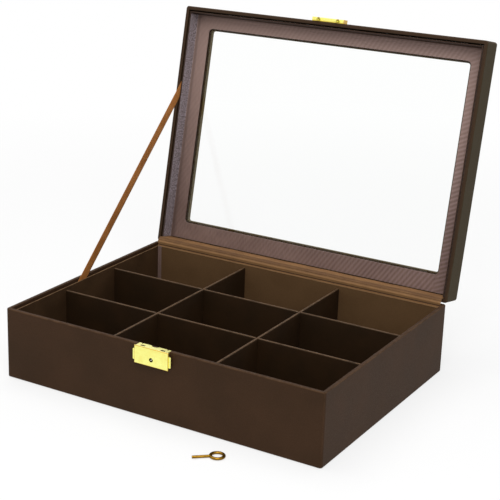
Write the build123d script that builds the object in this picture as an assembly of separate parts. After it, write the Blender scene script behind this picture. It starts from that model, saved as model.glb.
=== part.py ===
from build123d import *
import os
from math import cos, radians, sin

os.makedirs("parts", exist_ok=True)

# ---------------------------------------------------------------- settable sizes, mm and degrees
# Frame: X right along the front, Y to the back, Z up. Origin: centre of the underside.
CASE_W = 360.0         # outside width of base and lid
CASE_D = 270.0         # outside depth of base and lid
BASE_H = 74.5          # underside to rim
LID_H = 28.5           # lid rim to lid top
CORNER_R = 3.0         # upright outside corners
RIM_OUT_R = 1.2        # outer edge of both rims
RIM_IN_R = 0.8         # inner edge of both rims
LID_TOP_R = 1.6        # top edge of the lid
FOOT_R = 1.0           # bottom edge of the base

WRAP = 0.7             # leatherette over the boards
SIDE_BOARD = 2.6       # board in the walls
BOTTOM_BOARD = 3.0     # board under the base
PANEL_BOARD = 3.6      # board in the lid top
COVER_T = 0.5          # sheet under the base
COVER_INSET = 4.0      # from the outline to that sheet

GROOVE = 1.0           # slot between a wall and its lining
LINER = 1.2            # lining boards of base and lid
LINER_DROP = 3.4       # base rim to the liner's top
FLOOR_T = 2.0          # floor pad of the tray
LID_LINING_DROP = 1.5  # lid rim to the lining's edge
LID_FRONT_SLOT = 1.4   # slot between the lid's free wall and its lining
COVE_R = 5.0           # hollow corner of the lid lining
COVE_LIP = 0.25        # cloth thickness where the cove ends
LINING_FRAME = 2.0     # flat lining round the window
GLASS_T = 2.0          # window pane
GLASS_GAP = 0.4        # pane edge to lid wall

DIVIDER_T = 3.0        # divider boards
DIVIDER_DROP = 6.7     # base rim to the divider tops
DIVIDER_ROUND = 1.1    # rounding of their top edges
HALVING_GAP = 0.1      # play on each side of a halving slot
COLUMNS = 3
ROWS = 3

WINDOW_SIDE = 21.4     # outside to window, left and right
WINDOW_FRONT = 22.0    # outside to window at the free edge
WINDOW_BACK = 24.0     # outside to window at the hinge edge
WINDOW_R = 5.0         # its corners
WINDOW_REVEAL = 2.2    # step from lining frame to lid panel

OPEN_ANGLE = 101.6     # lid held by the strap
RIM_GAP = 0.3          # between the rims when shut
HINGE_BACK = 0.4       # hinge line behind the base

HINGE_STRIP_T = 0.6    # tan leather strip over the joint
HINGE_TUCK = 22.0      # length of it behind the liner
HINGE_END = 0.3        # strip to side walls, lid wall and lining frame

STRAP_W = 10.5         # stay strap
STRAP_T = 0.6
STRAP_BASE_Y = -10.3   # where it leaves the base rim
STRAP_LID_RUN = 173.0  # from the lid's hinge edge to where it enters the lid
STRAP_TUCK = 18.0      # length hidden in each groove

TAPE_W = 4.5           # cloth tape in the rear left corner of the tray
TAPE_T = 0.4

LOCK_X = -0.8          # lock and catch beside the middle
LOCK_W = 38.4          # front plate
LOCK_H = 17.9
LOCK_DEPTH = 4.8       # front of the lock before the case
LOCK_FRONT = 1.0       # depth of the front plate's folded edge
HOUSING_SIDE = 1.8     # front plate's edge to the housing behind it
HOUSING_LOW = 1.6
LOCK_FLANGE_W = 36.0
LOCK_OVERLAP = 3.1     # lock flange over the rim
DIP_R = 5.0            # round dip in the middle of the flange's rear edge
DIP = 2.4
NICK_X = 14.4          # nick beside each end lobe of the flange
NICK_W = 1.6
NICK = 1.3
EAR_W = 42.8           # over both ears
EAR_H = 11.0
EAR_DROP = 9.5         # rim to the middle of the ears
KEYHOLE_R = 2.15
KEYHOLE_DROP = 11.3    # rim to the keyhole's centre
POST_R = 0.5
PLATE_PLAY = 0.05      # play round the back plate

CATCH_W = 37.8
CATCH_H = 9.0
CATCH_DEPTH = 4.1      # front of the catch before the lid
CATCH_SLOT = 0.5       # play round each hook where it leaves the catch
HOOK_X = 11.4          # each hook from the middle
HOOK_W = 3.4
HOOK_T = 0.8
HOOK_L = 6.1
HOOK_IN = 1.2          # hook's back face before the case
HOOK_NOTCH = 1.7       # depth of the catching notch
NOTCH_H = 2.0
NOTCH_UP = 1.1         # hook tip to notch
SLOT_PLAY = 0.4        # play round a hook in its slot

BOLT_T = 1.1
BOLT_PLAY = 0.3        # bolt to back plate, and nose to hook
BOLT_BAR = 2.2         # height of its bar
BOLT_NOSE = 1.6
BOLT_ARM = 1.2
BOLT_TALON = 2.0

KEY_R = 1.4            # radius of the shaft, half height of the bow
KEY_BOW_R = 6.15       # bow's centre line
KEY_BOW_W = 3.2        # width of the bow's flattened wire
KEY_L = 23.2           # bow centre to tip
KEY_BORE_R = 0.65
KEY_BORE_L = 8.0
KEY_BIT_L = 4.0
KEY_BIT_OUT = 2.0      # axis to the bit's edge
KEY_BIT_T = 0.9
KEY_BIT_BACK = 0.8     # tip to bit
KEY_X = 90.6           # bow centre on the table
KEY_Y = -166.4
KEY_TURN = 221.0       # direction of the shaft

# ---------------------------------------------------------------- sizes that follow
WALL = SIDE_BOARD + 2 * WRAP
PANEL_T = PANEL_BOARD + 2 * WRAP
HX = CASE_W / 2
HY = CASE_D / 2
IN_X = HX - WALL                      # inside of the walls
IN_Y = HY - WALL
LINE_X = IN_X - GROOVE                # outside of the linings
LINE_Y = IN_Y - GROOVE
LID_LINE_Y = IN_Y - LID_FRONT_SLOT    # outside of the lining at the lid's free wall
TRAY_X = LINE_X - LINER               # inside of the base liner
TRAY_Y = LINE_Y - LINER
BOARD_Z = COVER_T + WRAP + BOTTOM_BOARD
FLOOR_Z = BOARD_Z + FLOOR_T
LINER_Z = BASE_H - LINER_DROP
DIVIDER_Z = BASE_H - DIVIDER_DROP
DIVIDER_MID = (FLOOR_Z + DIVIDER_Z) / 2

LID_Z = BASE_H + RIM_GAP              # lid rim, lid shut
PANEL_Z = LID_Z + LID_H - PANEL_T     # underside of the lid panel
GLASS_Z = PANEL_Z - GLASS_T
FRAME_Z = GLASS_Z - LINING_FRAME      # front of the lining frame
WALL_TOP_Z = LID_Z + LID_H - WRAP - PANEL_BOARD

HINGE_Y = HY + HINGE_BACK
HINGE_Z = BASE_H + RIM_GAP / 2
HINGE_FOLD_R = HINGE_BACK + WALL + HINGE_END + HINGE_STRIP_T / 2
OPEN = Pos(0, HINGE_Y, HINGE_Z) * Rot(-OPEN_ANGLE, 0, 0) * Pos(0, -HINGE_Y, -HINGE_Z)

CELL_X = (2 * TRAY_X - (COLUMNS - 1) * DIVIDER_T) / COLUMNS
CELL_Y = (2 * TRAY_Y - (ROWS - 1) * DIVIDER_T) / ROWS
CROSS_X = [-TRAY_X + (i + 1) * CELL_X + (i + 0.5) * DIVIDER_T for i in range(COLUMNS - 1)]
LONG_Y = [-TRAY_Y + (i + 1) * CELL_Y + (i + 0.5) * DIVIDER_T for i in range(ROWS - 1)]

SHEET = WRAP                          # lock metal, flush with the leatherette
LOCK_Y = -HY - LOCK_DEPTH
HOOK_Y = -HY - HOOK_IN
BACK_PLATE_Y = -HY - SHEET
KEYHOLE_Z = BASE_H - KEYHOLE_DROP
HOOK_TIP_Z = LID_Z - HOOK_L
LOCK_LOW = BASE_H - LOCK_H
HOUSING_X = LOCK_W / 2 - HOUSING_SIDE
AT_LOCK = Pos(LOCK_X, 0, 0)


def slab(x0, x1, y0, y1, z0, z1):
    return Pos((x0 + x1) / 2, (y0 + y1) / 2, (z0 + z1) / 2) * Box(x1 - x0, y1 - y0, z1 - z0)


def block(x, y, z0, z1, radius):
    return Pos(0, 0, z0) * extrude(RectangleRounded(2 * x, 2 * y, radius), z1 - z0)


def save(node, shape):
    solid = shape.solids()[0] if len(shape.solids()) == 1 else shape
    solid.label = node
    export_step(solid, f"parts/{node}.step")


# ---------------------------------------------------------------- case walls
def wall_boards(z0, z1):
    """Four boards of one tray: front, back, left, right."""
    ring = block(HX - WRAP, HY - WRAP, z0, z1, CORNER_R - WRAP)
    ring -= slab(-IN_X - WRAP, IN_X + WRAP, -IN_Y - WRAP, IN_Y + WRAP, z0, z1)
    front = ring & slab(-HX, HX, -HY, -IN_Y - WRAP, z0, z1)
    back = ring & slab(-HX, HX, IN_Y + WRAP, HY, z0, z1)
    left = ring & slab(-HX, -IN_X - WRAP, -IN_Y - WRAP, IN_Y + WRAP, z0, z1)
    right = ring & slab(IN_X + WRAP, HX, -IN_Y - WRAP, IN_Y + WRAP, z0, z1)
    return {"front": front, "back": back, "left": left, "right": right}


def base_boards():
    boards = wall_boards(BOARD_Z, BASE_H - WRAP)
    boards["bottom"] = block(HX - WRAP, HY - WRAP, COVER_T + WRAP, BOARD_Z, CORNER_R - WRAP)
    return boards


def base_wrap(boards):
    shell = block(HX, HY, COVER_T, BASE_H, CORNER_R)
    shell = fillet(shell.faces().sort_by(Axis.Z)[-1].edges(), RIM_OUT_R)
    shell = fillet(shell.faces().sort_by(Axis.Z)[0].edges(), FOOT_R)
    shell -= slab(-IN_X, IN_X, -IN_Y, IN_Y, BOARD_Z, BASE_H)
    shell = fillet(shell.faces().sort_by(Axis.Z)[-1].inner_wires()[0].edges(), RIM_IN_R)
    for board in boards.values():
        shell -= board
    return shell - (AT_LOCK * lock_flange() & slab(-HX, HX, -HY, HY, 0, BASE_H))


def bottom_cover():
    radius = CORNER_R
    return block(HX - COVER_INSET, HY - COVER_INSET, 0, COVER_T, radius)


# ---------------------------------------------------------------- tray
def base_liners():
    low = BOARD_Z
    return {
        "front": slab(-LINE_X, LINE_X, -LINE_Y, -TRAY_Y, low, LINER_Z),
        "back": slab(-LINE_X, LINE_X, TRAY_Y, LINE_Y, low, LINER_Z),
        "left": slab(-LINE_X, -TRAY_X, -TRAY_Y, TRAY_Y, low, LINER_Z),
        "right": slab(TRAY_X, LINE_X, -TRAY_Y, TRAY_Y, low, LINER_Z),
    }


def corner_tape():
    y = TRAY_Y
    return slab(-TRAY_X, -TRAY_X + TAPE_W, y - TAPE_T, y, FLOOR_Z, LINER_Z)


def round_top(board):
    edges = board.faces().sort_by(Axis.Z)[-1].edges()
    longest = edges.sort_by(SortBy.LENGTH)[-2:]
    return fillet(longest, DIVIDER_ROUND)


def cross_divider(x):
    """Front to back, slotted from below."""
    half = DIVIDER_T / 2
    board = round_top(slab(x - half, x + half, -TRAY_Y, TRAY_Y, FLOOR_Z, DIVIDER_Z))
    slot = half + HALVING_GAP
    for y in LONG_Y:
        board -= slab(x - half, x + half, y - slot, y + slot, FLOOR_Z, DIVIDER_MID + HALVING_GAP)
    return board


def long_divider(y):
    """Left to right, slotted from above."""
    half = DIVIDER_T / 2
    board = round_top(slab(-TRAY_X, TRAY_X, y - half, y + half, FLOOR_Z, DIVIDER_Z))
    slot = half + HALVING_GAP
    for x in CROSS_X:
        board -= slab(x - slot, x + slot, y - half, y + half, DIVIDER_MID, DIVIDER_Z)
    return board


# ---------------------------------------------------------------- lock
def lock_flange():
    """Top sheet from the front plate over the rim; its rear edge is lobed."""
    half = LOCK_FLANGE_W / 2
    rear = -HY + LOCK_OVERLAP
    flange = slab(-half, half, LOCK_Y + LOCK_FRONT, rear, BASE_H - SHEET, BASE_H)
    flange -= Pos(0, rear - DIP + DIP_R, BASE_H) * Cylinder(DIP_R, 3 * SHEET)
    for x in (-NICK_X, NICK_X):
        wide = NICK_W / 2
        flange -= slab(x - wide, x + wide, rear - NICK, rear, BASE_H - SHEET, BASE_H)
    return flange


def lock_case():
    half = LOCK_W / 2
    back = LOCK_Y + LOCK_FRONT
    case = slab(-half, half, LOCK_Y, back, LOCK_LOW, BASE_H)
    case = fillet(case.faces().sort_by(Axis.Y)[0].edges(), SHEET * 0.6)
    case += slab(-HOUSING_X, HOUSING_X, back, -HY, LOCK_LOW + HOUSING_LOW, BASE_H)
    z = BASE_H - EAR_DROP
    ears = slab(-EAR_W / 2, EAR_W / 2, back, back + SHEET, z - EAR_H / 2, z + EAR_H / 2)
    case += fillet(ears.edges().filter_by(Axis.Y), SHEET)
    case += lock_flange()
    inside = HOUSING_X - SHEET
    case -= slab(-inside, inside, LOCK_Y + SHEET, -HY, LOCK_LOW + HOUSING_LOW + SHEET, BASE_H - SHEET)
    for side in (-1, 1):
        wide = HOOK_W / 2 + SLOT_PLAY
        x = side * HOOK_X
        y0 = HOOK_Y - HOOK_T - SLOT_PLAY
        case -= slab(x - wide, x + wide, y0, HOOK_Y + SLOT_PLAY, BASE_H - SHEET, BASE_H)
    return case - Pos(0, LOCK_Y, KEYHOLE_Z) * Rot(90, 0, 0) * Cylinder(KEYHOLE_R, 3 * SHEET)


def lock_back_plate():
    x = HOUSING_X - SHEET - PLATE_PLAY
    low = LOCK_LOW + HOUSING_LOW + SHEET + PLATE_PLAY
    return slab(-x, x, BACK_PLATE_Y, -HY, low, BASE_H - SHEET - PLATE_PLAY)


def lock_post():
    length = LOCK_DEPTH - SHEET
    return Pos(0, BACK_PLATE_Y - length / 2, KEYHOLE_Z) * Rot(90, 0, 0) * Cylinder(POST_R, length)


def lock_bolt():
    """Bar with an upright arm and a nose beside each hook."""
    y1 = BACK_PLATE_Y - BOLT_PLAY
    y0 = y1 - BOLT_T
    bar_top = HOOK_TIP_Z - BOLT_PLAY
    nose_low = HOOK_TIP_Z + NOTCH_UP + BOLT_PLAY / 2
    nose_top = HOOK_TIP_Z + NOTCH_UP + NOTCH_H - BOLT_PLAY / 2
    tips = [x - HOOK_W / 2 - BOLT_PLAY for x in (-HOOK_X, HOOK_X)]
    bolt = slab(tips[0] - BOLT_NOSE - BOLT_ARM, tips[1] - BOLT_NOSE, y0, y1, bar_top - BOLT_BAR, bar_top)
    for tip in tips:
        root = tip - BOLT_NOSE
        bolt += slab(root - BOLT_ARM, root, y0, y1, bar_top - BOLT_BAR, nose_top)
        bolt += slab(root - BOLT_ARM, tip, y0, y1, nose_low, nose_top)
    talon = BOLT_TALON / 2
    return bolt - slab(-talon, talon, y0, y1, bar_top - BOLT_BAR, bar_top - BOLT_BAR / 2)


# ---------------------------------------------------------------- lid, built shut
def window(grow, radius, z0, z1):
    x = HX - WINDOW_SIDE + grow
    y0 = -HY + WINDOW_FRONT - grow
    y1 = HY - WINDOW_BACK + grow
    return Pos(0, (y0 + y1) / 2, 0) * block(x, (y1 - y0) / 2, z0, z1, radius)


def lid_boards():
    boards = wall_boards(LID_Z + WRAP, WALL_TOP_Z)
    top = LID_Z + LID_H - WRAP
    panel = block(HX - WRAP, HY - WRAP, WALL_TOP_Z, top, CORNER_R - WRAP)
    grow = WRAP - WINDOW_REVEAL
    boards["panel"] = panel - window(grow, WINDOW_R + grow, WALL_TOP_Z, top)
    return boards


def lid_wrap(boards):
    top = LID_Z + LID_H
    shell = block(HX, HY, LID_Z, top, CORNER_R)
    shell = fillet(shell.faces().sort_by(Axis.Z)[-1].edges(), LID_TOP_R)
    shell = fillet(shell.faces().sort_by(Axis.Z)[0].edges(), RIM_OUT_R)
    shell -= slab(-IN_X, IN_X, -IN_Y, IN_Y, LID_Z, PANEL_Z)
    shell = fillet(shell.faces().sort_by(Axis.Z)[0].inner_wires()[0].edges(), RIM_IN_R)
    shell -= window(-WINDOW_REVEAL, WINDOW_R - WINDOW_REVEAL, PANEL_Z, top)
    shell = fillet(shell.faces().sort_by(Axis.Z)[-1].inner_wires()[0].edges(), WRAP * 0.8)
    for board in boards.values():
        shell -= board
    return shell


def glass():
    x = IN_X - GLASS_GAP
    y = IN_Y - GLASS_GAP
    return slab(-x, x, -y, y, GLASS_Z, PANEL_Z)


def lining_frame():
    back = IN_Y - HINGE_STRIP_T - 2 * HINGE_END
    frame = slab(-LINE_X, LINE_X, -LID_LINE_Y, back, FRAME_Z, GLASS_Z)
    return frame - window(0, WINDOW_R, FRAME_Z, GLASS_Z)


def lining_section():
    """Wall and cove; x grows from the lining's outer face inwards, y is height."""
    low = LID_Z + LID_LINING_DROP
    wide = LINER + COVE_R
    wall = Pos(LINER / 2, (low + FRAME_Z) / 2) * Rectangle(LINER, FRAME_Z - low)
    foot = Pos(wide / 2, FRAME_Z - COVE_R / 2) * Rectangle(wide, COVE_R)
    hollow = Pos(wide, FRAME_Z - COVE_R) * Circle(COVE_R - COVE_LIP)
    return wall + (foot - hollow)


def lid_linings():
    wide = LINER + COVE_R
    back = IN_Y - HINGE_STRIP_T - 2 * HINGE_END
    section = lining_section()
    side = Plane(origin=(-LINE_X, -LID_LINE_Y, 0), x_dir=(1, 0, 0), z_dir=(0, -1, 0))
    front = Plane(origin=(-LINE_X, -LID_LINE_Y, 0), x_dir=(0, 1, 0), z_dir=(1, 0, 0))
    left = extrude(side * section, -(LID_LINE_Y + back))
    across = extrude(front * section, 2 * LINE_X)
    z = Plane.XY.offset(LID_Z)
    a = (-LINE_X, -LID_LINE_Y)
    b = (-LINE_X + wide, -LID_LINE_Y + wide)
    left &= extrude(z * make_face(Polyline(a, b, (b[0], back), (a[0], back), a)), LID_H)
    flat = [a, (-a[0], a[1]), (-b[0], b[1]), b, a]
    across &= extrude(z * make_face(Polyline(*flat)), LID_H)
    return {"left": left, "right": mirror(left, Plane.YZ), "front": across}


def catch():
    half = CATCH_W / 2
    top = LID_Z + CATCH_H
    front = -HY - CATCH_DEPTH
    case = slab(-half, half, front, -HY, LID_Z, top)
    case = fillet(case.faces().sort_by(Axis.Y)[0].edges(), SHEET * 0.6)
    case -= slab(-half + SHEET, half - SHEET, front + SHEET, -HY, LID_Z + SHEET, top - SHEET)
    for x in (-HOOK_X, HOOK_X):
        x0 = x - HOOK_W / 2
        x1 = x0 + HOOK_W
        play = CATCH_SLOT
        case -= slab(x0 - play, x1 + play, HOOK_Y - HOOK_T - play, HOOK_Y + play, LID_Z, LID_Z + SHEET)
        hook = slab(x0, x1, HOOK_Y - HOOK_T, HOOK_Y, HOOK_TIP_Z, top - SHEET / 2)
        notch = HOOK_TIP_Z + NOTCH_UP
        hook -= slab(x0, x0 + HOOK_NOTCH, HOOK_Y - HOOK_T, HOOK_Y, notch, notch + NOTCH_H)
        case += hook
    return case


# ---------------------------------------------------------------- flexible pieces, lid open
def at_open(run, depth):
    """Y and Z of a lid point: run from the hinge edge, depth behind the rim."""
    a = run + HINGE_BACK
    b = depth + RIM_GAP / 2
    turn = radians(OPEN_ANGLE)
    y = HINGE_Y - a * cos(turn) + b * sin(turn)
    return y, HINGE_Z + a * sin(turn) + b * cos(turn)


def hinge_strip():
    """One bent strip: behind the back liner, round the joint, along the lid's back wall."""
    tuck_y = HINGE_Y - HINGE_FOLD_R
    low = LINER_Z - HINGE_TUCK
    run = HINGE_FOLD_R - HINGE_BACK
    lid_in = at_open(run, -RIM_GAP / 2)
    lid_out = at_open(run, FRAME_Z - LID_Z - HINGE_END)
    path = Line((tuck_y, low), (tuck_y, HINGE_Z))
    path += CenterArc((HINGE_Y, HINGE_Z), HINGE_FOLD_R, 180, -OPEN_ANGLE)
    path += Line(lid_in, lid_out)
    plane = Plane(origin=(-IN_X + HINGE_END, 0, 0), x_dir=(0, 1, 0), z_dir=(1, 0, 0))
    return extrude(plane * trace(path, HINGE_STRIP_T), 2 * (IN_X - HINGE_END))


def stay_strap():
    """Straight ribbon in the plane of the two left grooves."""
    y1, z1 = at_open(STRAP_LID_RUN, 0)
    start = Vector(0, STRAP_BASE_Y, BASE_H)
    along = Vector(0, y1, z1) - start
    length = along.length + 2 * STRAP_TUCK
    middle = start + along * 0.5
    x = -IN_X + GROOVE / 2
    place = Plane(origin=(x, middle.Y, middle.Z), x_dir=along, z_dir=(1, 0, 0))
    return place * Box(length, STRAP_W, STRAP_T)


# ---------------------------------------------------------------- key, lying flat
def key():
    """Pipe key: flattened bow ring, shaft along its local X, bit beside the tip."""
    wire = Plane.XZ * Pos(KEY_BOW_R, 0) * Ellipse(KEY_BOW_W / 2, KEY_R)
    bow = revolve(wire, Axis.Z)
    start = KEY_BOW_R
    shaft = Pos((start + KEY_L) / 2, 0, 0) * Rot(0, 90, 0) * Cylinder(KEY_R, KEY_L - start)
    end = KEY_L - KEY_BIT_BACK
    bit = slab(end - KEY_BIT_L, end, KEY_R * 0.8, KEY_BIT_OUT, -KEY_BIT_T / 2, KEY_BIT_T / 2)
    bore = Pos(KEY_L - KEY_BORE_L / 2, 0, 0) * Rot(0, 90, 0) * Cylinder(KEY_BORE_R, KEY_BORE_L)
    return Pos(KEY_X, KEY_Y, KEY_R) * Rot(0, 0, KEY_TURN) * (bow + shaft + bit - bore)


# ---------------------------------------------------------------- write every node
def main():
    boards = base_boards()
    for side, board in boards.items():
        save(f"base_{side}_board", board)
    save("base_wrap", base_wrap(boards))
    save("base_bottom_cover", bottom_cover())
    for side, liner in base_liners().items():
        save(f"base_liner_{side}", liner)
    save("base_liner_floor", slab(-TRAY_X, TRAY_X, -TRAY_Y, TRAY_Y, BOARD_Z, FLOOR_Z))
    save("liner_corner_tape", corner_tape())
    for i, x in enumerate(CROSS_X):
        save(f"divider_cross_{i + 1}", cross_divider(x))
    for i, y in enumerate(LONG_Y):
        save(f"divider_long_{i + 1}", long_divider(y))
    save("lock_case", AT_LOCK * lock_case())
    save("lock_back_plate", AT_LOCK * lock_back_plate())
    save("lock_post", AT_LOCK * lock_post())
    save("lock_bolt", AT_LOCK * lock_bolt())
    lid = lid_boards()
    for side, board in lid.items():
        save(f"lid_{side}_board", OPEN * board)
    save("lid_wrap", OPEN * lid_wrap(lid))
    save("lid_glass", OPEN * glass())
    save("lid_lining_frame", OPEN * lining_frame())
    for side, lining in lid_linings().items():
        save(f"lid_lining_{side}", OPEN * lining)
    save("lid_catch", OPEN * AT_LOCK * catch())
    save("hinge_strip", hinge_strip())
    save("stay_strap", stay_strap())
    save("key", key())


main()
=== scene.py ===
from math import cos, pi, radians, sin

import bmesh
import bpy
from mathutils import Matrix, Vector


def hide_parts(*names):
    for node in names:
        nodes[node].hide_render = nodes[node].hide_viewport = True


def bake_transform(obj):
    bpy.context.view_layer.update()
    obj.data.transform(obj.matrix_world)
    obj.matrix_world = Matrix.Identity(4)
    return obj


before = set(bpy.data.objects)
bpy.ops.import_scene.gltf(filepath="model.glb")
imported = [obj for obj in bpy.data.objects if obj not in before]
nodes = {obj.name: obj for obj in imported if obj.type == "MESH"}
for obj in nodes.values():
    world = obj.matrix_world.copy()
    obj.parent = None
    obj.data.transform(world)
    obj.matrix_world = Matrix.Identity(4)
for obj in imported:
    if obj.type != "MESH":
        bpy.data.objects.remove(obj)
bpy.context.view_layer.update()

MM = 0.001

# ---------------------------------------------------------------- sizes of the box, metres
HALF_W = 180 * MM
HALF_D = 135 * MM
BASE_H = 74.5 * MM
LINER_Z = 71.1 * MM            # tops of the tray's liners and dividers
DIVIDER_Z = 67.8 * MM
LID_Z = 74.8 * MM              # the shut lid's rim
LID_H = 28.5 * MM
FRAME_Z = 94.3 * MM            # flat lining round the window
WINDOW_X = 156.4 * MM          # half the window in the lid panel
WINDOW_Y = 109.8 * MM
WINDOW_MID = -1.0 * MM
LOCK_X = -0.8 * MM
LOCK_LOW = 56.6 * MM
LOCK_FRONT = -139.8 * MM
LOCK_HALF = 19.2 * MM
LOCK_SHEET = 0.66 * MM
HOUSING_HALF = 16.75 * MM      # inner walls of the lock's housing
HOUSING_FOOT = 2.2 * MM
HOOK_X = 11.4 * MM             # hooks and their slots, from the lock's middle
HOOK_SLOT_Y = -136.6 * MM
CATCH_END = 18.3 * MM
OPEN_ANGLE = radians(101.6)
HINGE = Vector((0, 135.4 * MM, 74.65 * MM))
OPEN = Matrix.Translation(HINGE) @ Matrix.Rotation(-OPEN_ANGLE, 4, "X") @ Matrix.Translation(-HINGE)
SHUT_SHIFT = HINGE - Matrix.Rotation(OPEN_ANGLE, 3, "X") @ HINGE

STRIP_HALF = 175.7 * MM        # half width of the hinge strip
STRIP_T = 0.6 * MM
STRAP_X = -175.5 * MM
STRAP_START = Vector((STRAP_X, -10.3 * MM, 74.5 * MM))
STRAP_END = Vector((STRAP_X, 170.414 * MM, 244.478 * MM))
STRAP_W = 10.5 * MM
STRAP_T = 0.6 * MM
STRAP_TUCK = 18 * MM
STRAP_THIN = 0.55              # thickness left at its edges


# ---------------------------------------------------------------- shader maths
class Value:
    """A shader socket that takes part in sums; each step adds one Math node."""

    def __init__(self, finish, socket):
        self.finish = finish
        self.socket = socket

    def step(self, operation, first, second):
        return self.finish.node("Math", {"operation": operation}, {0: first, 1: second})

    def __add__(self, other):
        return self.step("ADD", self, other)

    def __sub__(self, other):
        return self.step("SUBTRACT", self, other)

    def __rsub__(self, other):
        return self.step("SUBTRACT", other, self)

    def __mul__(self, other):
        return self.step("MULTIPLY", self, other)

    def __abs__(self):
        return self.step("ABSOLUTE", self, 0.0)

    __radd__ = __add__
    __rmul__ = __mul__


class Finish:
    """A material or world and the nodes that make it."""

    def __init__(self, owner):
        self.owner = owner
        owner.use_nodes = True
        self.tree = owner.node_tree
        self.tree.nodes.clear()

    def node(self, kind, settings, sockets, output=0):
        made = self.tree.nodes.new("ShaderNode" + kind)
        for name, value in settings.items():
            setattr(made, name, value)
        for name, value in sockets.items():
            if isinstance(value, Value):
                self.tree.links.new(value.socket, made.inputs[name])
            else:
                made.inputs[name].default_value = value
        return Value(self, made.outputs[output])

    def place(self, lid=False):
        """Object coordinates; those of lid pieces turned back to the shut lid."""
        here = self.node("TexCoord", {}, {}, "Object")
        if not lid:
            return here
        turn = {"Vector": here, "Location": SHUT_SHIFT, "Rotation": (OPEN_ANGLE, 0, 0)}
        return self.node("Mapping", {}, turn)

    def stretched(self, where, scale):
        return self.node("Mapping", {}, {"Vector": where, "Scale": scale})

    def axes(self, where):
        return [self.node("SeparateXYZ", {}, {0: where}, i) for i in range(3)]

    def noise(self, where, scale, detail=2.0):
        return self.node("TexNoise", {}, {"Vector": where, "Scale": scale, "Detail": detail})

    def cells(self, where, scale):
        """Distance from the middle of each cell of a pebbled grain."""
        settings = {"Vector": where, "Scale": scale, "Smoothness": 0.4}
        return self.node("TexVoronoi", {"feature": "SMOOTH_F1"}, settings)

    def ramp(self, value, low, high):
        """0 below low, 1 above high, smooth between them."""
        limits = {"Value": value, "From Min": low, "From Max": high}
        return self.node("MapRange", {"interpolation_type": "SMOOTHSTEP"}, limits)

    def least(self, first, second):
        return self.node("Math", {"operation": "MINIMUM"}, {0: first, 1: second})

    def most(self, first, second):
        return self.node("Math", {"operation": "MAXIMUM"}, {0: first, 1: second})

    def wave(self, value):
        """Sine of value turns, from -1 to 1."""
        return self.node("Math", {"operation": "SINE"}, {0: value * (2 * pi)})

    def mixed(self, share, first, second):
        return self.node("Mix", {}, {0: share, 2: first, 3: second})

    def blend(self, share, first, second):
        return self.node("Mix", {"data_type": "RGBA"}, {0: share, 6: first, 7: second}, 2)

    def bump(self, height, depth, strength=1.0):
        return self.node("Bump", {}, {"Height": height, "Distance": depth, "Strength": strength})

    def near_edges(self, where, low, high, reach):
        """1 on the box's edges, falling to 0 at reach from them."""
        gaps = []
        for axis, near, far in zip(self.axes(where), low, high):
            gaps.append((far - near) / 2 - abs(axis - (near + far) / 2))
        small = self.least(gaps[0], gaps[1])
        large = self.most(gaps[0], gaps[1])
        second = self.most(small, self.least(large, gaps[2]))
        return 1 - self.ramp(second, 0.0, reach)

    def looked_at(self):
        """1 for rays of sight, also by mirror or glass, and 0 for the rays that light a piece."""
        kinds = ("Is Camera Ray", "Is Glossy Ray", "Is Transmission Ray")
        straight, mirrored, refracted = [self.node("LightPath", {}, {}, kind) for kind in kinds]
        return self.most(self.most(straight, mirrored), refracted)

    def output(self, shader, kind="Material"):
        made = self.tree.nodes.new("ShaderNodeOutput" + kind)
        self.tree.links.new(shader.socket, made.inputs["Surface"])

    def coated(self, sockets):
        """The finish's main shader, straight to the surface."""
        self.output(self.node("BsdfPrincipled", {}, sockets))
        return self.owner


def rgb(red, green, blue):
    """A colour, 0 to 255, as the shader needs it."""
    parts = [c / 255 for c in (red, green, blue)]
    return tuple(c / 12.92 if c <= 0.04045 else ((c + 0.055) / 1.055) ** 2.4 for c in parts) + (1.0,)


WARM = (1.0, 0.86, 0.68, 1.0)      # reflections of the dark leatherettes


def new_finish(name):
    return Finish(bpy.data.materials.new(name))


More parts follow.
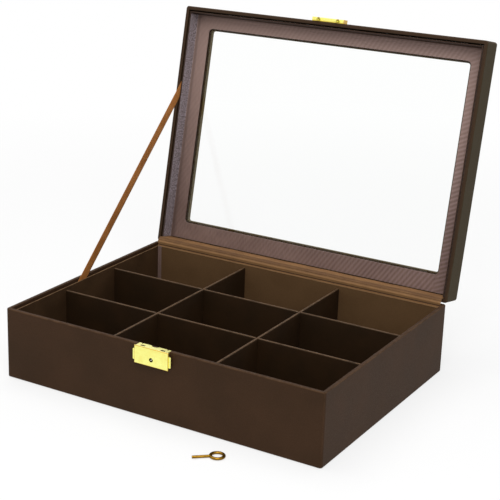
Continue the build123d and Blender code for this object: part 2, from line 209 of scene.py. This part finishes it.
# ---------------------------------------------------------------- materials
def case_leatherette(name, lid, low, high, dark, light):
    """Dark brown grained leatherette, rubbed paler along the edges of its box; on the lid, painted
    light round the window, painted shade above the rim and a painted reflection on the right wall.
    """
    f = new_finish(name)
    here = f.place(lid)
    clouds = f.noise(here, 22.0, 3.0)
    grain = f.cells(here, 1150.0)
    fine = f.noise(here, 2400.0, 2.0)
    pebble = f.ramp(grain, 0.08, 0.62) * 0.75 + fine * 0.35
    rub = f.noise(here, 140.0, 4.0)
    edge = f.near_edges(here, low, high, 1.6 * MM) * f.ramp(rub, 0.3, 0.62)
    body = f.blend(f.ramp(clouds, 0.3, 0.72), dark, light)
    body = f.blend(pebble * 0.30, body, rgb(34, 20, 9))
    wear_and_light = f.blend(edge * 0.45, body, rgb(92, 66, 42))
    if lid:
        # Painted light: the lid's leatherette just round the window is blended to a paler olive, as if
        # lit through the window.
        x, y, z = f.axes(here)
        beside = f.most(abs(x) - WINDOW_X, abs(y - WINDOW_MID) - WINDOW_Y)
        wear_and_light = f.blend((1 - f.ramp(beside, 0.2 * MM, 0.8 * MM)) * 0.8, wear_and_light, rgb(98, 86, 52))
        wear_and_light = f.blend((1 - f.ramp(z, LID_Z + 0.3 * MM, LID_Z + 0.9 * MM)) * 0.7, wear_and_light, rgb(50, 34, 25))
        # Painted shade: a dark line along the outside walls just above the lid's rim.
        rim_crease_shade = 1 - f.ramp(z, LID_Z + 1.6 * MM, LID_Z + 2.4 * MM)
        rim_crease_shade = f.ramp(z, LID_Z + 0.5 * MM, LID_Z + 1.0 * MM) * rim_crease_shade
        wear_and_light = f.blend(rim_crease_shade * 0.6, wear_and_light, rgb(26, 16, 8))
        # Painted reflection: the lid's right outside wall is blended to a darker olive for its grazing
        # reflection.
        wear_and_light = f.blend(f.ramp(x, HALF_W - 0.5 * MM, HALF_W - 0.1 * MM) * 0.6, wear_and_light, rgb(44, 38, 14))
    rough = 0.56 + pebble * 0.16 - edge * 0.08 + clouds * 0.06
    relief = pebble * -1.0 + clouds * 0.6
    return f.coated({"Base Color": wear_and_light, "Roughness": rough, "Specular IOR Level": 0.24,
                     "Specular Tint": WARM, "Normal": f.bump(relief, 0.05 * MM, 0.7)})


def tray_leatherette(name, top, dark, light, rubbed):
    """The thinner, more even leatherette of the tray, pale along its top edges."""
    f = new_finish(name)
    here = f.place()
    clouds = f.noise(here, 30.0, 3.0)
    grain = f.cells(here, 1500.0)
    fine = f.noise(here, 3000.0, 2.0)
    pebble = f.ramp(grain, 0.08, 0.6) * 0.7 + fine * 0.3
    height = f.axes(here)[2]
    rub = f.noise(here, 120.0, 4.0)
    tops = f.ramp(height, top - 0.5 * MM, top - 0.1 * MM) * f.ramp(rub, 0.15, 0.6)
    body = f.blend(f.ramp(clouds, 0.3, 0.7), dark, light)
    body = f.blend(pebble * 0.28, body, rgb(24, 14, 5))
    wear_and_light = f.blend(tops * 0.6, body, rubbed)
    rough = 0.58 + pebble * 0.14 - tops * 0.08
    return f.coated({"Base Color": wear_and_light, "Roughness": rough, "Specular IOR Level": 0.22,
                     "Specular Tint": WARM, "Normal": f.bump(pebble * -1.0, 0.04 * MM, 0.6)})


def lining_cloth(name, lid):
    """Mauve-brown ribbed lining; the fine ribs show as watered diagonal bands."""
    f = new_finish(name)
    here = f.place(lid)
    x, y, z = f.axes(here)
    ribs = f.wave((x + z * 0.6) * (1 / (0.62 * MM)))
    threads = f.wave((y - z * 0.8) * (1 / (0.46 * MM)))
    run = HINGE.y - y
    bend = f.noise(here, 9.0, 1.0) * 1.1
    steep = f.wave(x * 192 - run * 120 + bend)
    flat = f.wave(x * 100 - run * 212 + bend)
    bands = f.mixed(f.ramp(x, 150 * MM, 162 * MM), steep, flat)
    strength = f.ramp(run, 30 * MM, 160 * MM) * 0.5 + 0.5
    strength = (f.ramp(x + run * 0.25, -140 * MM, 190 * MM) * 0.8 + 0.2) * strength
    slub = f.noise(f.stretched(here, (1.0, 0.12, 1.0)), 900.0, 3.0)
    patch = f.noise(here, 26.0, 3.0)
    base = f.blend(f.ramp(patch, 0.3, 0.7), rgb(118, 94, 84), rgb(132, 107, 97))
    base = f.blend(f.ramp(slub, 0.35, 0.75) * 0.45, base, rgb(92, 74, 72))
    base = f.blend((bands * 0.5 + 0.5) * strength * 0.85, base, rgb(158, 134, 132))
    base = f.blend((0.5 - bands * 0.5) * strength * 0.3, base, rgb(70, 52, 46))
    base = f.blend((ribs * 0.5 + 0.5) * 0.22, base, rgb(74, 58, 56))
    if lid:
        # Painted light: the lining is blended paler towards the lid's free edge.
        far = f.ramp(run, 30 * MM, 235 * MM)
        base = f.blend(far * 0.55, base, rgb(170, 144, 134))
        # Painted sheen: the lid's left inner wall is blended to a speckled bluish grey.
        speck = f.ramp(f.noise(here, 650.0, 3.0), 0.41, 0.59)
        wall_sheen = 1 - f.ramp(z, FRAME_Z - 3.4 * MM, FRAME_Z - 2.2 * MM)
        wall_sheen = (1 - f.ramp(x, -173.6 * MM, -170.4 * MM)) * wall_sheen
        base = f.blend(wall_sheen * 0.85, base, f.blend(speck, rgb(92, 82, 84), rgb(162, 151, 158)))
        # Painted shade: a darker band where the cove curves into the flat frame.
        hollow_shade = 1 - f.ramp(z, FRAME_Z - 1.0 * MM, FRAME_Z)
        hollow_shade = f.ramp(z, FRAME_Z - 3.0 * MM, FRAME_Z - 1.6 * MM) * hollow_shade
        base = f.blend(hollow_shade * 0.5, base, rgb(70, 54, 48))
        lip_top = LID_Z + 2.1 * MM + f.ramp(run, 258 * MM, 260 * MM) * (20 * MM)
        front = f.ramp(run, 261.8 * MM, 262.6 * MM)
        front = f.most(1 - f.ramp(z, LID_Z + 2 * MM, LID_Z + 3 * MM), front)
        lip = (1 - f.ramp(z - lip_top, 0.0, 0.4 * MM)) * front
        base = f.blend(lip * 0.95, base, rgb(46, 27, 10))
    relief = ribs * 0.5 + threads * 0.4 + slub * 0.6 + bands * 0.3
    return f.coated({"Base Color": base, "Roughness": 0.62 + slub * 0.2, "Specular IOR Level": 0.22,
                     "Sheen Weight": 0.1, "Sheen Roughness": 0.4, "Sheen Tint": (0.78, 0.76, 0.86, 1.0),
                     "Normal": f.bump(relief, 0.06 * MM, 0.8)})


def tan_leather(name, dark, light, shade, scuffed, creases, pale=None):
    """Thin tan split leather: long fibres, scuffs, dark creases with painted shade and painted light
    over the start of the strip.
    """
    f = new_finish(name)
    here = f.place()
    long_way = f.stretched(here, (0.08, 1.0, 1.0))
    fibre = f.noise(long_way, 1400.0, 4.0)
    patch = f.noise(here, 45.0, 4.0)
    nap = f.noise(here, 2600.0, 3.0)
    scuff = f.noise(here, 240.0, 5.0)
    body = f.blend(f.ramp(patch, 0.28, 0.74), dark, light)
    body = f.blend(f.ramp(fibre, 0.42, 0.78) * 0.5, body, shade)
    body = f.blend(f.ramp(scuff, 0.56, 0.8) * 0.35, body, scuffed)
    along = f.node("Attribute", {"attribute_name": "along"}, {}, "Fac")
    # Painted light: the start of the strip, below the rim, is blended paler.
    if pale:
        low, high, share, colour = pale
        body = f.blend((1 - f.ramp(along, low, high)) * share, body, colour)
    # Painted shade: each crease is darkened, and it also dips in the bump.
    strip_crease_shade = 0.0
    for at, wide, deep in creases:
        wander = f.noise(long_way, 60.0, 2.0) * wide - wide / 2
        line = 1 - f.ramp(abs(along - at + wander), wide * 0.2, wide)
        strip_crease_shade = f.most(strip_crease_shade, line * deep)
    body = f.blend(strip_crease_shade, body, rgb(62, 42, 34))
    rough = 0.6 + nap * 0.25
    relief = fibre * 0.8 + nap * 0.5 + scuff * 0.6 - strip_crease_shade * 2.0
    return f.coated({"Base Color": body, "Roughness": rough, "Specular IOR Level": 0.16,
                     "Specular Tint": (1.0, 0.85, 0.65, 1.0), "Normal": f.bump(relief, 0.08 * MM, 0.8)})


def lock_marks(f, here, body):
    """Painted dark reflection along the turned edges of the lock's front plate, painted highlight on
    the flange, painted shade round the slots and inside.
    """
    x, y, z = f.axes(here)
    side = abs(x - LOCK_X)
    outline = f.least(LOCK_HALF - side, f.least(z - LOCK_LOW, BASE_H - z))
    front = 1 - f.ramp(y - LOCK_FRONT, 0.45 * MM, 0.6 * MM)
    # Painted reflection: darker orange along the front plate's edges.
    body = f.blend((1 - f.ramp(outline, 0.25 * MM, 0.8 * MM)) * front * 0.75, body, rgb(204, 142, 24))
    # Painted highlight: the flange top is blended whiter.
    body = f.blend(f.ramp(z, BASE_H - 0.2 * MM, BASE_H) * (1 - front) * 0.3, body, rgb(255, 255, 190))
    # Painted shade: dark brown round the hook slots.
    slot_shade = f.most(abs(side - HOOK_X) - 2.1 * MM, abs(y - HOOK_SLOT_Y) - 0.8 * MM)
    body = f.blend((1 - f.ramp(slot_shade, 0.2 * MM, 0.8 * MM)) * 0.7, body, rgb(112, 78, 18))
    # Painted shade: the inside of the housing is darkened.
    walls = f.most(side - HOUSING_HALF, f.most(LOCK_LOW + HOUSING_FOOT - z, z - BASE_H + LOCK_SHEET))
    deep = f.ramp(y - LOCK_FRONT, LOCK_SHEET - 0.02 * MM, LOCK_SHEET + 0.02 * MM)
    deep = (1 - f.ramp(walls, 0.0, 0.02 * MM)) * deep
    return f.blend(deep * 0.9, body, rgb(110, 78, 24))


def catch_marks(f, here, body):
    """The catch is darker at its right end, and painted shade darkens it where its hooks leave it."""
    x, y, z = f.axes(here)
    end = f.ramp(x - LOCK_X, CATCH_END, CATCH_END + 0.3 * MM)
    body = f.blend(end * 0.8, body, rgb(198, 146, 70))
    # Painted shade: brown marks where the hooks leave the catch.
    hooks = 1 - f.ramp(abs(abs(x - LOCK_X) - HOOK_X), 1.2 * MM, 1.9 * MM)
    hooks = hooks * (1 - f.ramp(y, -137.4 * MM, -136.8 * MM))
    hooks = hooks * (1 - f.ramp(z, LID_Z + 1 * MM, LID_Z + 2 * MM))
    body = f.blend(hooks * 0.75, body, rgb(120, 78, 22))
    return f.blend(f.ramp(y, -136.6 * MM, -135.2 * MM) * 0.6, body, rgb(216, 170, 24))


def polished_brass(name, bright, deep, lid, fineness, marks=None, metallic=0.92):
    """Lacquered brass sheet: faint brushing, darker in its pits and along the brushing."""
    f = new_finish(name)
    here = f.place(lid)
    brush = f.noise(f.stretched(here, (0.04, 1.0, 1.0)), fineness, 4.0)
    haze = f.noise(here, 160.0, 4.0)
    pits = f.cells(here, 700.0)
    body = f.blend(f.ramp(haze, 0.3, 0.75) * 0.35, bright, deep)
    body = f.blend(f.ramp(brush, 0.45, 0.8) * 0.2, body, deep)
    body = f.blend((1 - f.ramp(pits, 0.02, 0.16)) * 0.3, body, rgb(120, 92, 30))
    if marks:
        body = marks(f, here, body)
    rough = 0.2 + haze * 0.12 + brush * 0.08
    relief = brush * 0.5 + f.ramp(pits, 0.02, 0.2) * 0.5
    return f.coated({"Base Color": body, "Metallic": metallic, "Roughness": rough,
                     "Normal": f.bump(relief, 0.02 * MM, 0.4)})


def grey_board():
    """Pressed board under the leatherette."""
    f = new_finish("grey_board")
    here = f.place()
    fibre = f.noise(f.stretched(here, (0.3, 1.0, 1.0)), 700.0, 5.0)
    fleck = f.cells(here, 420.0)
    layers = f.wave(f.axes(here)[2] * (1 / (0.55 * MM)))
    body = f.blend(f.ramp(fibre, 0.3, 0.7), rgb(134, 124, 110), rgb(168, 158, 142))
    body = f.blend((1 - f.ramp(fleck, 0.05, 0.3)) * 0.5, body, rgb(92, 84, 74))
    return f.coated({"Base Color": body, "Roughness": 0.86 + fibre * 0.1,
                     "Normal": f.bump(fibre * 0.8 + layers * 0.2, 0.08 * MM, 0.7)})


def cover_felt():
    """Short-napped dark sheet under the base, rubbed thin where it stands."""
    f = new_finish("cover_felt")
    here = f.place()
    nap = f.noise(here, 1700.0, 4.0)
    patch = f.noise(here, 35.0, 4.0)
    lint = f.noise(f.stretched(here, (1.0, 0.2, 1.0)), 600.0, 3.0)
    body = f.blend(f.ramp(patch, 0.3, 0.7), rgb(38, 31, 27), rgb(52, 43, 37))
    body = f.blend(f.ramp(nap, 0.45, 0.8) * 0.5, body, rgb(84, 73, 64))
    body = f.blend(f.ramp(lint, 0.62, 0.8) * 0.5, body, rgb(120, 108, 98))
    return f.coated({"Base Color": body, "Roughness": 0.9 + nap * 0.08, "Specular IOR Level": 0.2,
                     "Sheen Weight": 0.3, "Normal": f.bump(nap + lint * 0.5, 0.15 * MM, 0.9)})


def pane_glass():
    """Clear window pane with a faint film of smears."""
    f = new_finish("pane_glass")
    here = f.place(True)
    smear = f.noise(f.stretched(here, (1.0, 0.25, 1.0)), 28.0, 5.0)
    dust = f.noise(here, 900.0, 2.0)
    film = f.ramp(smear, 0.5, 0.85) * 0.012 + f.ramp(dust, 0.68, 0.8) * 0.01
    clear = f.node("BsdfTransparent", {}, {"Color": (0.994, 0.997, 0.995, 1.0)})
    gloss = f.node("BsdfGlossy", {}, {"Color": (1.0, 1.0, 1.0, 1.0), "Roughness": 0.03})
    mirror = f.node("Fresnel", {}, {"IOR": 1.45})
    f.output(f.node("MixShader", {}, {0: mirror * 0.35 + film, 1: clear, 2: gloss}))
    return f.owner


BASE_LOW = (-HALF_W, -HALF_D, 0.5 * MM)
BASE_HIGH = (HALF_W, HALF_D, BASE_H)
LID_LOW = (-HALF_W, -HALF_D, LID_Z)
LID_HIGH = (HALF_W, HALF_D, LID_Z + LID_H)

base_leather = case_leatherette(
    "base_leatherette", False, BASE_LOW, BASE_HIGH, rgb(50, 30, 14), rgb(59, 37, 21))
lid_leather = case_leatherette(
    "lid_leatherette", True, LID_LOW, LID_HIGH, rgb(51, 35, 12), rgb(60, 42, 18))
liner_leather = tray_leatherette(
    "liner_leatherette", LINER_Z, rgb(56, 38, 22), rgb(70, 49, 30), rgb(124, 96, 68))
# Painted light: the back liner gets a paler copy of the liner leatherette, as if lit from the front.
lit_back_leather = tray_leatherette(
    "back_liner_lit_leatherette", LINER_Z, rgb(99, 73, 47), rgb(106, 79, 52), rgb(138, 108, 76))
divider_leather = tray_leatherette(
    "divider_leatherette", DIVIDER_Z, rgb(32, 18, 5), rgb(42, 25, 9), rgb(96, 72, 50))
lid_cloth = lining_cloth("lid_lining_cloth", True)
tape_cloth = lining_cloth("corner_tape_cloth", False)
# Where each crease's painted shade runs along the strip, half its width (both mm) and how dark it is.
CREASE_SHADES = ((22.9, 1.0, 0.95), (27.4, 0.5, 0.5), (28.7, 0.5, 0.7), (30.1, 0.45, 0.65),
           (30.8, 3.2, 0.5), (31.7, 0.4, 0.75), (34.3, 0.8, 0.9), (52.8, 1.3, 0.75))
# The hinge leather's last argument paints light over the start of the strip.
strip_tan = tan_leather(
    "hinge_leather", rgb(118, 86, 56), rgb(138, 102, 66), rgb(88, 60, 42), rgb(158, 118, 74),
    [(at * MM, wide * MM, deep) for at, wide, deep in CREASE_SHADES],
    (26 * MM, 29 * MM, 0.4, rgb(162, 124, 84)))
strap_tan = tan_leather(
    "strap_leather", rgb(150, 95, 46), rgb(176, 115, 60), rgb(118, 72, 34), rgb(192, 134, 78), ())
lock_metal = polished_brass(
    "lock_brass", rgb(255, 254, 150), rgb(242, 218, 98), False, 900.0, lock_marks)
# Painted shade: the lock's inside parts get a dark copy of the brass.
shaded_inner_metal = polished_brass("lock_inside_shaded", rgb(96, 72, 26), rgb(50, 36, 12), False, 900.0)
catch_metal = polished_brass(
    "catch_brass", rgb(255, 252, 140), rgb(236, 204, 88), True, 900.0, catch_marks)
post_metal = polished_brass(
    "post_steel", rgb(255, 252, 236), rgb(220, 206, 170), False, 1500.0, metallic=0.3)
key_metal = polished_brass("key_brass", rgb(142, 106, 28), rgb(84, 58, 12), False, 1200.0)
board = grey_board()
felt = cover_felt()
glass = pane_glass()

FINISHES = {
    "base_wrap": base_leather,
    "base_bottom_cover": felt,
    "lid_wrap": lid_leather,
    "lid_glass": glass,
    "liner_corner_tape": tape_cloth,
    "lock_case": lock_metal,
    "lock_back_plate": shaded_inner_metal,
    "lock_post": post_metal,
    "lock_bolt": shaded_inner_metal,
    "lid_catch": catch_metal,
    "key": key_metal,
    "base_liner_back": lit_back_leather,
    "hinge_strip": strip_tan,
    "stay_strap": strap_tan,
}
for name in nodes:
    if name.startswith("base_liner") and name not in FINISHES:
        FINISHES[name] = liner_leather
    elif name.startswith("divider"):
        FINISHES[name] = divider_leather
    elif name.startswith("lid_lining"):
        FINISHES[name] = lid_cloth
    elif name.endswith("_board"):
        FINISHES[name] = board


def dress(piece, material):
    piece.data.materials.clear()
    piece.data.materials.append(material)


for name, piece in nodes.items():
    dress(piece, FINISHES[name])


# ---------------------------------------------------------------- modelling by hand
def deselect():
    if bpy.context.mode != "OBJECT":
        bpy.ops.object.mode_set(mode="OBJECT")
    bpy.ops.object.select_all(action="DESELECT")


def take(piece):
    """Makes the piece active and the only one selected."""
    deselect()
    piece.select_set(True)
    bpy.context.view_layer.objects.active = piece


def started(name):
    piece = bpy.context.active_object
    piece.name = piece.data.name = name
    bpy.ops.object.transform_apply(location=True, rotation=True, scale=True)
    return piece


def block(name, low, high):
    deselect()
    low, high = Vector(low), Vector(high)
    bpy.ops.mesh.primitive_cube_add(size=1, location=(low + high) / 2, scale=high - low)
    return started(name)


def edit(piece, kind="VERT"):
    take(piece)
    bpy.ops.object.mode_set(mode="EDIT")
    bpy.ops.mesh.select_mode(type=kind)
    bpy.ops.mesh.select_all(action="DESELECT")
    return bmesh.from_edit_mesh(piece.data)


def pick(piece, kind, wanted):
    """Selects the vertices, edges or faces that wanted says, by their middle and direction."""
    mesh = edit(piece, kind)
    if kind == "VERT":
        for vert in mesh.verts:
            vert.select_set(wanted(vert.co))
    elif kind == "EDGE":
        for edge in mesh.edges:
            a, b = (v.co for v in edge.verts)
            edge.select_set(wanted((a + b) / 2, (b - a).normalized()))
    else:
        for face in mesh.faces:
            face.select_set(wanted(face.calc_center_median(), face.normal))
    mesh.select_flush_mode()
    bmesh.update_edit_mesh(piece.data)


def modify(piece, kind, **settings):
    take(piece)
    modifier = piece.modifiers.new(kind.title(), kind)
    for name, value in settings.items():
        setattr(modifier, name, value)
    bpy.ops.object.modifier_apply(modifier=modifier.name)


def smooth(piece, degrees):
    take(piece)
    bpy.ops.object.shade_smooth_by_angle(angle=radians(degrees))


def soften(piece, width):
    """Rounds a CAD piece's sharp edges with live modifiers."""
    weld = piece.modifiers.new("Weld", "WELD")
    weld.merge_threshold = 0.002 * MM
    bevel = piece.modifiers.new("Soft edge", "BEVEL")
    bevel.width = width
    bevel.segments = 2
    bevel.limit_method = "ANGLE"
    bevel.angle_limit = radians(50)
    bevel.use_clamp_overlap = True


# ---------------------------------------------------------------- hinge strip
FOLD_R = 5.0 * MM         # strip from the hinge line, in front of both rims
FOLD_ROLL = 0.42 * MM     # how far each roll stands out
FOLDS = 3
FOLD_STEPS = 7
STRIP_RISE = (50, 58, 66, 71, 73)      # heights up its groove, mm
STRIP_SEAT = 4.5 * MM                  # strip from the lid's hinge edge
# Depths in the lid, and how far the strip lifts off its seat there, mm.
STRIP_LIE = ((1.4, 0.1), (4, 0.35), (8, 0.15), (12, 0.3), (16, 0.1), (19, 0.0))
STRIP_CUTS = 63


def lid_point(run, depth):
    """Y and Z of an open lid's point, from its hinge edge inwards and from its rim up."""
    shut = Vector((0, HALF_D - run, LID_Z + depth))
    opened = OPEN @ shut
    return opened.y, opened.z


def strip_section():
    """Y and Z along the strip: up its groove, over the joint in soft rolls, along the lid."""
    y = HINGE.y - FOLD_R
    points = [(y, z * MM) for z in STRIP_RISE]
    steps = FOLDS * FOLD_STEPS
    for i in range(steps + 1):
        share = i / steps
        angle = pi - share * OPEN_ANGLE
        swell = abs(sin(share * FOLDS * pi)) ** 0.6
        reach = FOLD_R + FOLD_ROLL * swell
        points.append((HINGE.y + reach * cos(angle), HINGE.z + reach * sin(angle)))
    for depth, lift in STRIP_LIE:
        points.append(lid_point(STRIP_SEAT + lift * MM, depth * MM))
    return points


def mark_along(strip, points):
    """Gives each vertex its distance along the section, for the creases."""
    path = [Vector((0, y, z)) for y, z in points]
    runs = [0.0]
    for a, b in zip(path, path[1:]):
        runs.append(runs[-1] + (b - a).length)
    marks = strip.data.attributes.new("along", "FLOAT", "POINT")
    for vert, mark in zip(strip.data.vertices, marks.data):
        at = Vector((0, vert.co.y, vert.co.z))
        near = min(range(len(path)), key=lambda i: (path[i] - at).length)
        way = path[min(near + 1, len(path) - 1)] - path[max(near - 1, 0)]
        mark.value = runs[near] + (at - path[near]).dot(way.normalized())


def make_hinge_strip():
    points = strip_section()
    (y0, z0), (y1, z1) = points[0], points[1]
    deselect()
    bpy.ops.mesh.primitive_plane_add(size=1, location=(0, y0, (z0 + z1) / 2), rotation=(pi / 2, 0, 0))
    bpy.ops.transform.resize(value=(2 * STRIP_HALF, 1, z1 - z0))
    strip = started("hinge_strip_leather")
    pick(strip, "EDGE", lambda at, way: at.z > z1 - 0.1 * MM)
    for (y0, z0), (y1, z1) in zip(points[1:], points[2:]):
        bpy.ops.mesh.extrude_region_move(TRANSFORM_OT_translate={"value": (0, y1 - y0, z1 - z0)})
    pick(strip, "EDGE", lambda at, way: abs(way.x) > 0.99)
    bpy.ops.mesh.subdivide(number_cuts=STRIP_CUTS)
    mesh = edit(strip)
    for vert in mesh.verts:
        x = vert.co.x
        swell = sin(x * 61) * 0.10 + sin(x * 143 + 2) * 0.07
        vert.co.z += swell * MM * (vert.co.z > 74 * MM)
    bmesh.update_edit_mesh(strip.data)
    deselect()
    modify(strip, "SOLIDIFY", thickness=STRIP_T, offset=0.0)
    modify(strip, "SUBSURF", levels=1, render_levels=1)
    mark_along(strip, points)
    dress(strip, strip_tan)
    smooth(strip, 60)
    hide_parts("hinge_strip")
    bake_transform(strip)


# ---------------------------------------------------------------- stay strap
def make_stay_strap():
    """A ribbon with rounded, slightly thinned edges, from groove to groove."""
    along = STRAP_END - STRAP_START
    length = along.length + 2 * STRAP_TUCK
    half_t = STRAP_T / 2
    corner = Vector((half_t, STRAP_W / 2, length / 2))
    strap = block("stay_strap_leather", -corner, corner)
    pick(strap, "EDGE", lambda at, way: abs(way.y) > 0.99)
    bpy.ops.mesh.subdivide(number_cuts=3)
    pick(strap, "VERT", lambda at: abs(at.y) > STRAP_W / 2 - 0.1 * MM)
    bpy.ops.transform.resize(value=(STRAP_THIN, 1, 1))
    pick(strap, "EDGE", lambda at, way: abs(way.z) > 0.99 and abs(at.y) > STRAP_W / 2 - 0.1 * MM)
    bpy.ops.mesh.bevel(offset=0.15 * MM, segments=2)
    pick(strap, "EDGE", lambda at, way: abs(way.z) > 0.99)
    bpy.ops.mesh.subdivide(number_cuts=71)
    take(strap)
    across = Vector((0, -along.z, along.y)).normalized()
    up = along.normalized()
    lean = Matrix((Vector((1, 0, 0)), across, up)).transposed().to_4x4()
    strap.matrix_world = Matrix.Translation((STRAP_START + STRAP_END) / 2) @ lean
    bpy.ops.object.transform_apply(location=True, rotation=True, scale=True)
    dress(strap, strap_tan)
    smooth(strap, 50)
    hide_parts("stay_strap")
    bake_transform(strap)


make_hinge_strip()
make_stay_strap()

for name, piece in nodes.items():
    if name.startswith("base_liner") and name != "base_liner_floor":
        soften(piece, 0.35 * MM)
    elif name in ("lid_lining_left", "lid_lining_right", "lid_lining_front", "lid_lining_frame"):
        soften(piece, 0.3 * MM)
    elif name in ("lock_case", "lid_catch"):
        soften(piece, 0.16 * MM)


# ---------------------------------------------------------------- floor, light and camera
FLOOR_SIZE = 8.0
FLOOR_DROP = 0.2 * MM
FLOOR_NEAR = 0.45         # the floor is white by itself from FAR outwards
FLOOR_FAR = 1.3
PALE_NEAR = 0.72          # share of its own white close to the box
ROOM_LIGHT = 0.42
LAMPS = (
    ("key", 26, 1.2, (0.9, -1.3, 1.7)),
    ("top", 22, 1.6, (-0.4, 0.1, 2.0)),
)
LIT_AT = Vector((0, 0, 0.1))


def paper_floor():
    """Pale floor that still takes the object's shadow."""
    f = new_finish("paper_floor")
    matt = f.node("BsdfDiffuse", {}, {"Color": (0.86, 0.86, 0.86, 1.0)})
    glow = f.node("Emission", {}, {"Color": (1.0, 1.0, 1.0, 1.0), "Strength": 1.0})
    away = f.node("VectorMath", {"operation": "LENGTH"}, {0: f.place()}, "Value")
    pale = PALE_NEAR + f.ramp(away, FLOOR_NEAR, FLOOR_FAR) * (1 - PALE_NEAR)
    f.output(f.node("MixShader", {}, {0: f.looked_at() * pale, 1: matt, 2: glow}))
    return f.owner


def studio():
    world = bpy.context.scene.world or bpy.data.worlds.new("studio")
    bpy.context.scene.world = world
    f = Finish(world)
    strength = ROOM_LIGHT + f.looked_at() * (1 - ROOM_LIGHT)
    room = f.node("Background", {}, {"Color": (1.0, 1.0, 1.0, 1.0), "Strength": strength})
    f.output(room, "World")
    deselect()
    bpy.ops.mesh.primitive_plane_add(size=FLOOR_SIZE, location=(0, 0, -FLOOR_DROP))
    floor = started("floor")
    dress(floor, paper_floor())


def lamp(name, power, size, place):
    data = bpy.data.lights.new(name, "AREA")
    data.energy = power
    data.size = size
    made = bpy.data.objects.new(name, data)
    bpy.context.scene.collection.objects.link(made)
    place = Vector(place)
    aim = (LIT_AT - place).to_track_quat("-Z", "Y").to_matrix().to_4x4()
    made.matrix_world = Matrix.Translation(place) @ aim


VIEW_AZ = radians(31.639)
VIEW_EL = radians(18.635)
VIEW_ROLL = radians(1.359)
VIEW_DIST = 1.40109
VIEW_AT = Vector((-0.02718, 0.0, 0.12335))
FOCAL_PX = 1380.38
CENTRE_PX = (207.63, 255.57)
IMAGE_PX = 500
SENSOR_MM = 36


def camera():
    forward = Vector((-sin(VIEW_AZ) * cos(VIEW_EL), cos(VIEW_AZ) * cos(VIEW_EL), -sin(VIEW_EL)))
    level = Vector((cos(VIEW_AZ), sin(VIEW_AZ), 0))
    upright = level.cross(forward)
    right = cos(VIEW_ROLL) * level + sin(VIEW_ROLL) * upright
    up = -sin(VIEW_ROLL) * level + cos(VIEW_ROLL) * upright
    data = bpy.data.cameras.new("camera")
    data.sensor_width = SENSOR_MM
    data.lens = FOCAL_PX * data.sensor_width / IMAGE_PX
    data.shift_x = (IMAGE_PX / 2 - CENTRE_PX[0]) / IMAGE_PX
    data.shift_y = (CENTRE_PX[1] - IMAGE_PX / 2) / IMAGE_PX
    data.clip_start = 0.01
    made = bpy.data.objects.new("camera", data)
    bpy.context.scene.collection.objects.link(made)
    turned = Matrix((right, up, -forward)).transposed().to_4x4()
    made.matrix_world = Matrix.Translation(VIEW_AT - forward * VIEW_DIST) @ turned
    bpy.context.scene.camera = made


studio()
for row in LAMPS:
    lamp(*row)
camera()
bpy.context.scene.view_settings.view_transform = "Standard"
